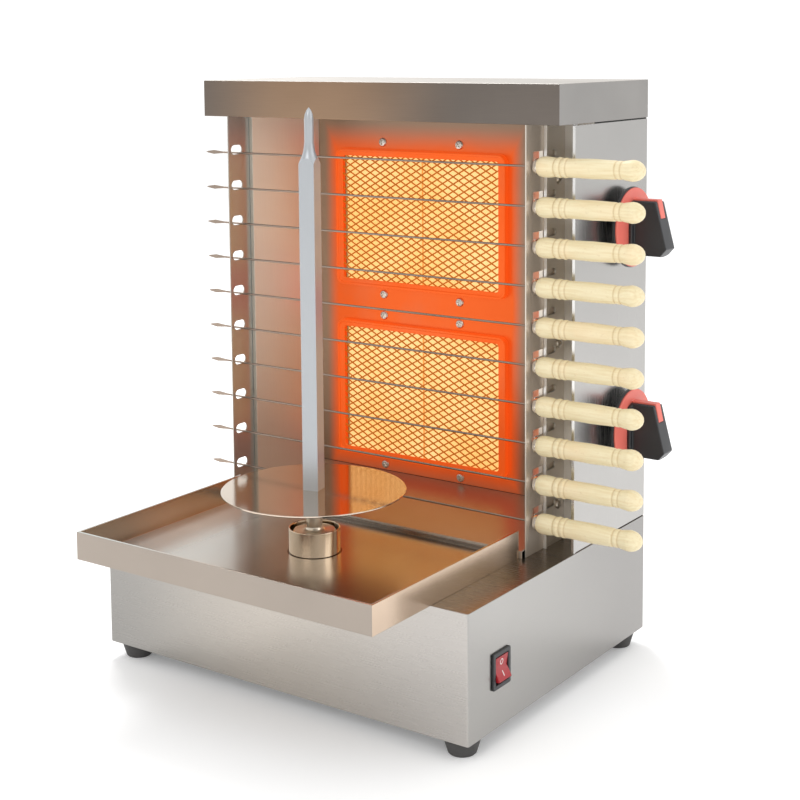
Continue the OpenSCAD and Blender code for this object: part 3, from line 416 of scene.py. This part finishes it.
def paleWood(s):
    # turned birch: long grain, small freckles, a warmer tinge here and there, and painted shade darkening the
    # grooves
    shop = MaterialShop("paleWood")
    place = shop.place()
    x = shop.parts(place)[0]
    half, fade = (span * mm for span in s["grooveSpan"])
    grooveShade = 0.0
    for at in s["grooveAt"]:
        grooveShade = (1.0 - abs(x - (s["handleStart"] + at) * mm).step(half, fade)).most(grooveShade)
    grain = shop.noise(shop.stretched(place, (12.0, 170.0, 170.0)), 3.0, 5.0, 0.55)
    freckle = shop.noise(place, 430.0, 2.0).step(0.62, 0.74)
    warm = shop.noise(place, 26.0, 2.0)
    tone = shop.blend(grain.step(0.35, 0.7), s["pale"], s["grain"])
    tone = shop.blend(warm.step(0.45, 0.75) * 0.3, tone, s["warm"])
    tone = shop.blend(freckle * 0.2, tone, s["freckle"])
    tone = shop.blend(grooveShade * 0.42, tone, s["grooveShade"])
    return shop.finish(Base_Color=tone, Roughness=grain * 0.15 + 0.40, Normal=shop.bump(grain, 0.12, 0.0003))


def moulded(name, colour, rough, grain=500.0):
    shop = MaterialShop(name)
    skin = shop.noise(shop.place(), grain, 2.0)
    cloud = shop.noise(shop.place(), 30.0, 2.0)
    tone = shop.blend(cloud, tuple(c * 0.86 for c in colour), tuple(min(1, c * 1.12) for c in colour))
    return shop.finish(Base_Color=tone, Roughness=cloud * 0.08 + rough, Normal=shop.bump(skin, 0.06, 0.0002))


# front, side and top tones here are painted light and shade for each way a face points
warmSheet = dict(front=(0.78, 0.70, 0.60), side=(0.80, 0.70, 0.60), top=(0.42, 0.31, 0.23), rough=0.32,
                 along=2, grain=0.03, metallic=0.80)
brushedSheet = dict(front=(0.45, 0.43, 0.41), side=(0.52, 0.50, 0.48), top=(0.50, 0.46, 0.42), rough=0.30)
finishes = {        # by material slot
    "brushed_stainless": sheetSteel("brushedSheet", **brushedSheet),
    "bright_stainless": sheetSteel("warmSheet", **warmSheet),
    "plated_steel": evenSteel("platedSteel", (0.42, 0.42, 0.42), 0.42),
    "polished_stainless": evenSteel("polishedSteel", (0.62, 0.62, 0.63), 0.16, along=2),
    "motor_enamel": moulded("motorEnamel", (0.20, 0.21, 0.22), 0.4),
    "heat_glowing_steel": burnerLitSteel("hotPanel", burnerLitTones),
    "guard_steel": guardWire(guardTones),
    "burner_ceramic": burnerCeramic(ceramicTones),
    "valve_brass": evenSteel("valveBrass", (0.70, 0.52, 0.24), 0.28),
    "foot_rubber": moulded("footRubber", (0.062, 0.060, 0.058), 0.7, 300.0),
    "black_plastic": moulded("blackPlastic", (0.022, 0.023, 0.026), 0.34),
    "red_plastic": moulded("redPlastic", (0.78, 0.17, 0.13), 0.40),
    "switch_red_plastic": moulded("rockerRed", (0.36, 0.012, 0.018), 0.20),
    "pale_wood": paleWood(woodTones),
}
panelTones = {      # upright plates, each with its own painted light and shade by the way its faces point
    "right_outer_panel": dict(name="outerSteel", front=(0.80, 0.79, 0.77), side=(0.425, 0.415, 0.40),
                              top=(0.5, 0.48, 0.46), rough=0.26, seamShadeFromX=0.1994),
    "right_guard_plate": dict(name="guardSteel", front=(0.86, 0.83, 0.79), side=(0.74, 0.66, 0.56),
                              top=(0.5, 0.48, 0.46), rough=0.30, metallic=0.55),
    "skewer_tip_plate": dict(name="tipSteel", front=(0.50, 0.48, 0.44), side=(0.40, 0.43, 0.42),
                             top=(0.40, 0.30, 0.22), rough=0.30, metallic=0.60),
    "skewer_seat_plate": dict(name="seatSteel", front=(0.72, 0.66, 0.58), side=(0.60, 0.51, 0.42),
                              top=(0.5, 0.45, 0.4), rough=0.30, metallic=0.60),
}
ownFinish = {       # by node, where it differs from its slot's
    "base_shell": baseSteel(baseTones),
    "drip_pan": panSteel(panTones),
    "canopy": canopySteel(canopyTones),
    "upper_frame": burnerLitSteel("hotFrame", burnerLitTones, 1.15),
    "spit_rod": spitSteel(spitTones),
    "spit_disc": evenSteel("discSteel", (0.66, 0.56, 0.46), 0.09),
    "drive_socket": evenSteel("socketSteel", (0.62, 0.52, 0.42), 0.2),
    "cover_screws": evenSteel("screwSteel", (0.70, 0.64, 0.57), 0.32),
}
ownFinish["lower_frame"] = ownFinish["upper_frame"]
ownFinish.update(dict.fromkeys(skewerNames, skewerMetal(skewerTones)))
ownFinish.update({name: sheetSteel(along=2, **tones) for name, tones in panelTones.items()})
for name, piece in nodes.items():
    piece.data.materials.clear()
    piece.data.materials.append(ownFinish.get(name, finishes[slotOf[name]]))
print("stage: finishes")


edgeWidths = {      # rounding of each node's edges, in millimetres; 0 only smooths its round faces
    "base_shell": 0.45, "canopy": 0.45, "drip_pan": 0.30, "right_outer_panel": 0.30,
    "right_guard_plate": 0.25, "left_outer_panel": 0.25, "skewer_seat_plate": 0.18, "skewer_tip_plate": 0.18,
    "side_reflectors": 0.20, "drip_apron": 0.20, "upper_frame": 0.45, "lower_frame": 0.45,
    "spit_rod": 0.0, "spit_disc": 0.0, "drive_socket": 0.0,
    "upper_knob": 0.9, "lower_knob": 0.9, "upper_knob_skirt": 0.6, "lower_knob_skirt": 0.6,
    "switch_bezel": 0.5, "switch_rocker": 0.5, "rubber_feet": 0.0, "cable_gland": 0.0, "gas_valves": 0.0,
    "upper_valve_stem": 0.0, "lower_valve_stem": 0.0,
}
edgeWidths.update((name, 0.0) for pair in zip(skewerNames, handleNames) for name in pair)
softPlan = {"merge": 0.002 * mm, "smoothBelow": 32, "roundAbove": 40, "segments": 2}     # angles in degrees


def softCopy(name, width, s):
    # merged copy of a CAD node with rounded edges and smooth round faces
    work = bmesh.new()
    work.from_mesh(nodes[name].data)
    bmesh.ops.remove_doubles(work, verts=work.verts, dist=s["merge"])
    for face in work.faces:
        face.smooth = True
    for edge in work.edges:
        edge.smooth = len(edge.link_faces) == 2 and edge.calc_face_angle(0) < math.radians(s["smoothBelow"])
    mesh = bpy.data.meshes.new(name + ".soft")
    work.to_mesh(mesh)
    work.free()
    mesh.materials.append(nodes[name].data.materials[0])
    piece = newObject(name + ".soft", mesh)
    if width:
        bevel = piece.modifiers.new("rounding", "BEVEL")
        bevel.width, bevel.segments, bevel.limit_method = width * mm, s["segments"], "ANGLE"
        bevel.angle_limit = math.radians(s["roundAbove"])
        bevel.use_clamp_overlap = bevel.loop_slide = False
    weight = piece.modifiers.new("evenShade", "WEIGHTED_NORMAL")
    weight.keep_sharp = not width
    piece.data = bpy.data.meshes.new_from_object(piece.evaluated_get(bpy.context.evaluated_depsgraph_get()))
    piece.modifiers.clear()
    fit(piece, bodyOf[name], slotOf[name], name)


for name, width in edgeWidths.items():
    softCopy(name, width, softPlan)
print("stage: softened pieces")


# expanded metal over the tiles: each crossing carries two strands up to the next row
guardPlan = {"diamondWide": 12.3 * mm, "diamondHigh": 7.0 * mm, "strandWide": 1.2 * mm,
             "strandThick": 0.9 * mm, "strandTurn": 0.35, "columns": 15, "rows": 36}
guardBehind = 0.6 * mm      # how far the mesh lies behind its frame's front face


def expandedGuard(name, replaced, centreZ):
    shop = ShapeShop(name + "Tree", guardPlan)
    wide, high = shop.size("diamondWide"), shop.size("diamondHigh")
    across, upward = (shop.size("columns") - 1.0) * wide, (shop.size("rows") - 1.0) * high * 0.5
    counts = {"Size X": across, "Size Y": upward, "Vertices X": shop.size("columns"),
              "Vertices Y": shop.size("rows")}
    lattice = shop.node("GeometryNodeMeshGrid", sockets=counts)
    y = shop.parts(shop.node("GeometryNodeInputPosition"))[1]
    odd = abs(((y + upward * 0.5) / (high * 0.5)).rounded() % 2.0)
    shift = shop.point(x=(odd - 0.5) * wide * 0.5, y=high * -0.25)
    lattice = shop.node("GeometryNodeSetPosition", sockets={"Geometry": lattice, "Offset": shift})
    strandLong = (wide * wide + high * high).maths("SQRT") * 0.5
    lean = high.maths("ARCTAN2", wide)
    size = shop.point(strandLong, shop.size("strandWide"), shop.size("strandThick"))
    bar = shop.node("GeometryNodeMeshCube", sockets={"Size": size})
    bars = shop.tree.nodes.new("GeometryNodeJoinGeometry")
    for side in (-1.0, 1.0):
        leaning = {"Geometry": bar, "Translation": shop.point(x=wide * 0.25 * side, y=high * 0.25),
                   "Rotation": shop.point(x=shop.size("strandTurn") * -side, z=lean * side)}
        shop.tree.links.new(shop.node("GeometryNodeTransform", sockets=leaning).value, bars.inputs[0])
    placed = {"Points": lattice, "Instance": Link(shop, bars.outputs[0])}
    upright = {"Geometry": shop.node("GeometryNodeInstanceOnPoints", sockets=placed),
               "Rotation": (math.pi / 2, 0, 0),
               "Translation": (burnerX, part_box(replaced)[0][1] + guardBehind, centreZ)}
    shop.close(shop.node("GeometryNodeTransform", sockets=upright), finishes["guard_steel"])
    fit(shop.grow(name), "grill", "guard_steel", replaced)


expandedGuard("upperGuardMesh", "upper_guard", upperBurnerZ)
expandedGuard("lowerGuardMesh", "lower_guard", lowerBurnerZ)
print("stage: burner guards")


screwPlan = {       # in millimetres; the dome goes by shares of the head's radius and height
    "headWide": 8.8, "headHigh": 2.4, "neckShare": 0.45, "sunk": 0.6,
    "dome": ((1, 0), (1, 0.3), (0.8, 0.78), (0.4, 1), (0, 1)),
    "crossLong": 5.2, "crossWide": 1.15, "crossDeep": 1.3,
}
screwRows = (       # x, y and z of each group's heads in millimetres, and the way that they face
    ((-182, 182), (-137, 137), (7.5,), (0, 0, -1)),         # feet
    ((170.1,), (41.5,), (160, 307, 454), (1, 0, 0)),        # guard plate
    ((-55, 35), (89,), (324.8, 476.8), (0, -1, 0)),         # upper burner
    ((-55, 35), (89,), (151.5, 303.5), (0, -1, 0)),         # lower burner
    ((-192, 192), (156,), (145, 314.5, 484), (0, 1, 0)),    # rear panel
)
screwSeats = [((x, y, z), way) for xs, ys, zs, way in screwRows for x in xs for y in ys for z in zs]


def turned(profile, segments=20):
    # closed round shape about Z from (radius, height) points, bottom to top
    work = bmesh.new()
    rings = []
    for radius, height in profile:
        if radius == 0:
            rings.append([work.verts.new((0, 0, height))])
        else:
            steps = (2 * math.pi * k / segments for k in range(segments))
            ring = [(radius * math.cos(a), radius * math.sin(a), height) for a in steps]
            rings.append([work.verts.new(point) for point in ring])
    for low, high in zip(rings, rings[1:]):
        for k in range(segments):
            n = (k + 1) % segments
            corners = [low[k % len(low)], low[n % len(low)], high[n % len(high)], high[k % len(high)]]
            work.faces.new(list(dict.fromkeys(corners)))
    bmesh.ops.recalc_face_normals(work, faces=work.faces)
    return work


def screwHead(s):
    # domed head with a cross recess
    r, h, sunk = s["headWide"] / 2 * mm, s["headHigh"] * mm, s["sunk"] * mm
    profile = [(0, -sunk), (r * s["neckShare"], -sunk), (r * s["neckShare"], 0)]
    profile += [(r * across, h * up) for across, up in s["dome"]]
    head = newObject("screwHead", bpy.data.meshes.new("screwHead"))
    work = turned(profile)
    work.to_mesh(head.data)
    work.free()
    tool = newObject("crossTool", bpy.data.meshes.new("crossTool"))
    work = bmesh.new()
    for wide, long in ((s["crossLong"], s["crossWide"]), (s["crossWide"], s["crossLong"])):
        size = Matrix.Diagonal((wide * mm, long * mm, s["crossDeep"] * 2 * mm, 1))
        bmesh.ops.create_cube(work, size=1.0, matrix=Matrix.Translation((0, 0, h)) @ size)
    work.to_mesh(tool.data)
    work.free()
    cut = head.modifiers.new("cross", "BOOLEAN")
    cut.object, cut.operation, cut.solver, cut.use_self = tool, "DIFFERENCE", "EXACT", True
    head.data = bpy.data.meshes.new_from_object(head.evaluated_get(bpy.context.evaluated_depsgraph_get()))
    head.modifiers.clear()
    bpy.data.objects.remove(tool)
    return head


def coverScrews():
    head = screwHead(screwPlan)
    seats = bpy.data.meshes.new("screwSeats")
    seats.from_pydata([tuple(c * mm for c in place) for place, way in screwSeats], [], [])
    ways = seats.attributes.new("wayOut", "FLOAT_VECTOR", "POINT")
    ways.data.foreach_set("vector", [c for place, way in screwSeats for c in way])
    shop = ShapeShop("screwTree", {"screwScale": 1.0, "spinSeed": 7})
    way = shop.node("GeometryNodeInputNamedAttribute", {"data_type": "FLOAT_VECTOR"}, {"Name": "wayOut"})
    stand = shop.node("FunctionNodeAlignRotationToVector", {"axis": "Z"}, {"Vector": way})
    draw = {2: 0.0, 3: 1.5, "Seed": shop.size("spinSeed")}       # turn of each cross, in radians
    spin = shop.node("FunctionNodeRandomValue", {"data_type": "FLOAT"}, draw, 1)
    turn = shop.node("FunctionNodeAxisAngleToRotation", sockets={"Axis": (0, 0, 1), "Angle": spin})
    both = {"Rotation": stand, "Rotate By": turn}
    stand = shop.node("FunctionNodeRotateRotation", {"rotation_space": "LOCAL"}, both)
    shape = shop.node("GeometryNodeObjectInfo", {"transform_space": "ORIGINAL"}, {"Object": head}, "Geometry")
    scale = shop.point(*[shop.size("screwScale")] * 3)
    points = Link(shop, shop.entry.outputs[0])
    placed = {"Points": points, "Instance": shape, "Rotation": stand, "Scale": scale}
    shop.close(shop.node("GeometryNodeInstanceOnPoints", sockets=placed), ownFinish["cover_screws"])
    screws = shop.grow("coverScrews", seats)
    bpy.data.objects.remove(head)
    screws.data.shade_smooth()
    screws.data.set_sharp_from_angle(angle=math.radians(softPlan["smoothBelow"]))
    fit(screws, "grill", "polished_stainless", "cover_screws")


coverScrews()
print("stage: screws")


rockerMarks = {     # pivot and paddle faces of the switch, in millimetres; the tilt is in degrees
    "pivot": (195.5, 64.5), "y": -107.0, "tilt": 10, "faceMiddle": (6.65, 4.85), "faceSlope": (0.947, 0.322),
    "ring": 2.3, "ringTall": 1.15, "ringWall": 0.62, "ringSteps": 32, "barLong": 4.6, "barWide": 0.8,
    "raised": 0.12, "sunk": 0.1, "merge": 0.0001,
}


def switchMarks(s):
    # a white ring on the upper face and a bar on the lower one
    paint = moulded("markWhite", (0.85, 0.82, 0.80), 0.35)
    tilt = Matrix.Rotation(math.radians(s["tilt"]), 2)
    work = bmesh.new()
    for upward in (1, -1):
        middle = tilt @ Vector((s["faceMiddle"][0], s["faceMiddle"][1] * upward))
        out = tilt @ Vector((s["faceSlope"][0], -s["faceSlope"][1] * upward))
        centre = Vector((s["pivot"][0] + middle.x, s["y"], s["pivot"][1] + middle.y))
        outward, along = Vector((out.x, 0, out.y)), Vector((0, 1, 0))
        upFace = outward.cross(along)
        if upward == 1:
            count, rx, ry = s["ringSteps"], s["ring"], s["ring"] * s["ringTall"]
            steps = [2 * math.pi * k / count for k in range(count)]
            outer = [(rx * math.cos(a), ry * math.sin(a)) for a in steps]
            inner = [((rx - s["ringWall"]) * math.cos(a), (ry - s["ringWall"]) * math.sin(a)) for a in steps]
            quads = [(outer[k], outer[k - count + 1], inner[k - count + 1], inner[k]) for k in range(count)]
        else:
            w, h = s["barWide"] / 2, s["barLong"] / 2
            quads = [((-w, -h), (w, -h), (w, h), (-w, h))]
        for quad in quads:
            flat = [centre + along * u + upFace * v for u, v in quad]
            low = [work.verts.new((point - outward * s["sunk"]) * mm) for point in flat]
            high = [work.verts.new((point + outward * s["raised"]) * mm) for point in flat]
            work.faces.new(high)
            work.faces.new(low[::-1])
            for k in range(4):
                if len(quads) == 1 or k in (0, 2):      # the ring's quads join at their ends
                    n = (k + 1) % 4
                    work.faces.new((low[k], low[n], high[n], high[k]))
    bmesh.ops.remove_doubles(work, verts=work.verts, dist=s["merge"] * mm)
    bmesh.ops.recalc_face_normals(work, faces=work.faces)
    marks = newObject("switchMarks", bpy.data.meshes.new("switchMarks"))
    work.to_mesh(marks.data)
    work.free()
    marks.data.materials.append(paint)
    fit(marks, "switch_rocker", "switch_red_plastic")


switchMarks(rockerMarks)
print("stage: switch")


viewSetup = {"place": (0.8380, -1.1508, 0.5742), "yaw": 35.15, "pitch": 5.97, "roll": -0.44, "lens": 69.62,
             "sensor": 36.0, "shiftY": -0.244, "nearest": 0.05, "furthest": 50}


def makeCamera(s):
    data = bpy.data.cameras.new("photoCamera")
    camera = newObject("photoCamera", data)
    data.lens, data.sensor_width, data.shift_y = s["lens"], s["sensor"], s["shiftY"]
    data.clip_start, data.clip_end = s["nearest"], s["furthest"]
    yaw, pitch, roll = (math.radians(s[k]) for k in ("yaw", "pitch", "roll"))
    ahead = Vector((-math.sin(yaw) * math.cos(pitch), math.cos(yaw) * math.cos(pitch), -math.sin(pitch)))
    right = Vector((math.cos(yaw), math.sin(yaw), 0))
    up = right.cross(ahead)
    across = right * math.cos(roll) + up * math.sin(roll)
    over = up * math.cos(roll) - right * math.sin(roll)
    aim = Matrix((across, over, -ahead)).transposed().to_4x4()
    camera.matrix_world = Matrix.Translation(s["place"]) @ aim
    bpy.context.scene.camera = camera


lamps = {       # place, target and size in metres, and power in watts
    "frontLight": ((0.1, -2.4, 2.2), (0, 0, 0.25), 1.6, 18),
    "backKeyLight": ((-1.3, 1.1, 2.4), (0, 0, 0.0), 1.0, 36),
    "sideLight": ((2.6, 0.4, 1.4), (0, 0, 0.3), 1.4, 5),
}


def areaLight(name, place, target, size, power):
    data = bpy.data.lights.new(name, "AREA")
    data.shape, data.size, data.size_y, data.energy = "RECTANGLE", size, size, power
    aim = (Vector(target) - Vector(place)).to_track_quat("-Z", "Y").to_matrix().to_4x4()
    newObject(name, data).matrix_world = Matrix.Translation(place) @ aim


studio = {      # the floor is lit a little by itself, and the room by the way it faces
    "floorHalf": 12.0, "floorLift": 0.12,
    "floorLow": (0.955, 0.955, 0.955), "floorHigh": (0.965, 0.965, 0.965),
    "backLight": 1.12, "frontLight": 0.70, "frontSpan": (-0.85, 0.25),
    "topLight": 1.15, "topSpan": (0.35, 0.95),
}


def makeFloor(s):
    shop = MaterialShop("paleFloor")
    tone = shop.blend(shop.noise(shop.place(), 3.0, 2.0), s["floorLow"], s["floorHigh"])
    mesh = bpy.data.meshes.new("studioFloor")
    half = s["floorHalf"]
    corners = [(-half, -half, 0), (half, -half, 0), (half, half, 0), (-half, half, 0)]
    mesh.from_pydata(corners, [], [(0, 1, 2, 3)])
    mesh.materials.append(shop.finish(Base_Color=tone, Roughness=0.9, Emission_Color=(1, 1, 1),
                                      Emission_Strength=s["floorLift"]))
    newObject("studioFloor", mesh)


def makeWorld(s):
    # even white room, dimmer on the side that the front of the object looks at
    world = bpy.data.worlds.new("studioWorld")
    bpy.context.scene.world = world
    world.use_nodes = True
    shop = NodeShop(world.node_tree, "ShaderNodeOutputWorld")
    _, y, z = shop.parts(shop.node("ShaderNodeTexCoord", output="Generated"))
    strength = y.step(*s["frontSpan"]) * (s["backLight"] - s["frontLight"]) + s["frontLight"]
    strength = strength.most(z.step(*s["topSpan"]) * s["topLight"])
    room = shop.node("ShaderNodeBackground", sockets={"Color": (1.0, 1.0, 1.0), "Strength": strength})
    shop.tree.links.new(room.value, shop.out.inputs[0])


makeCamera(viewSetup)
makeFloor(studio)
makeWorld(studio)
for name, setting in lamps.items():
    areaLight(name, *setting)
bpy.context.scene.view_settings.view_transform = "Standard"
print("stage: studio")
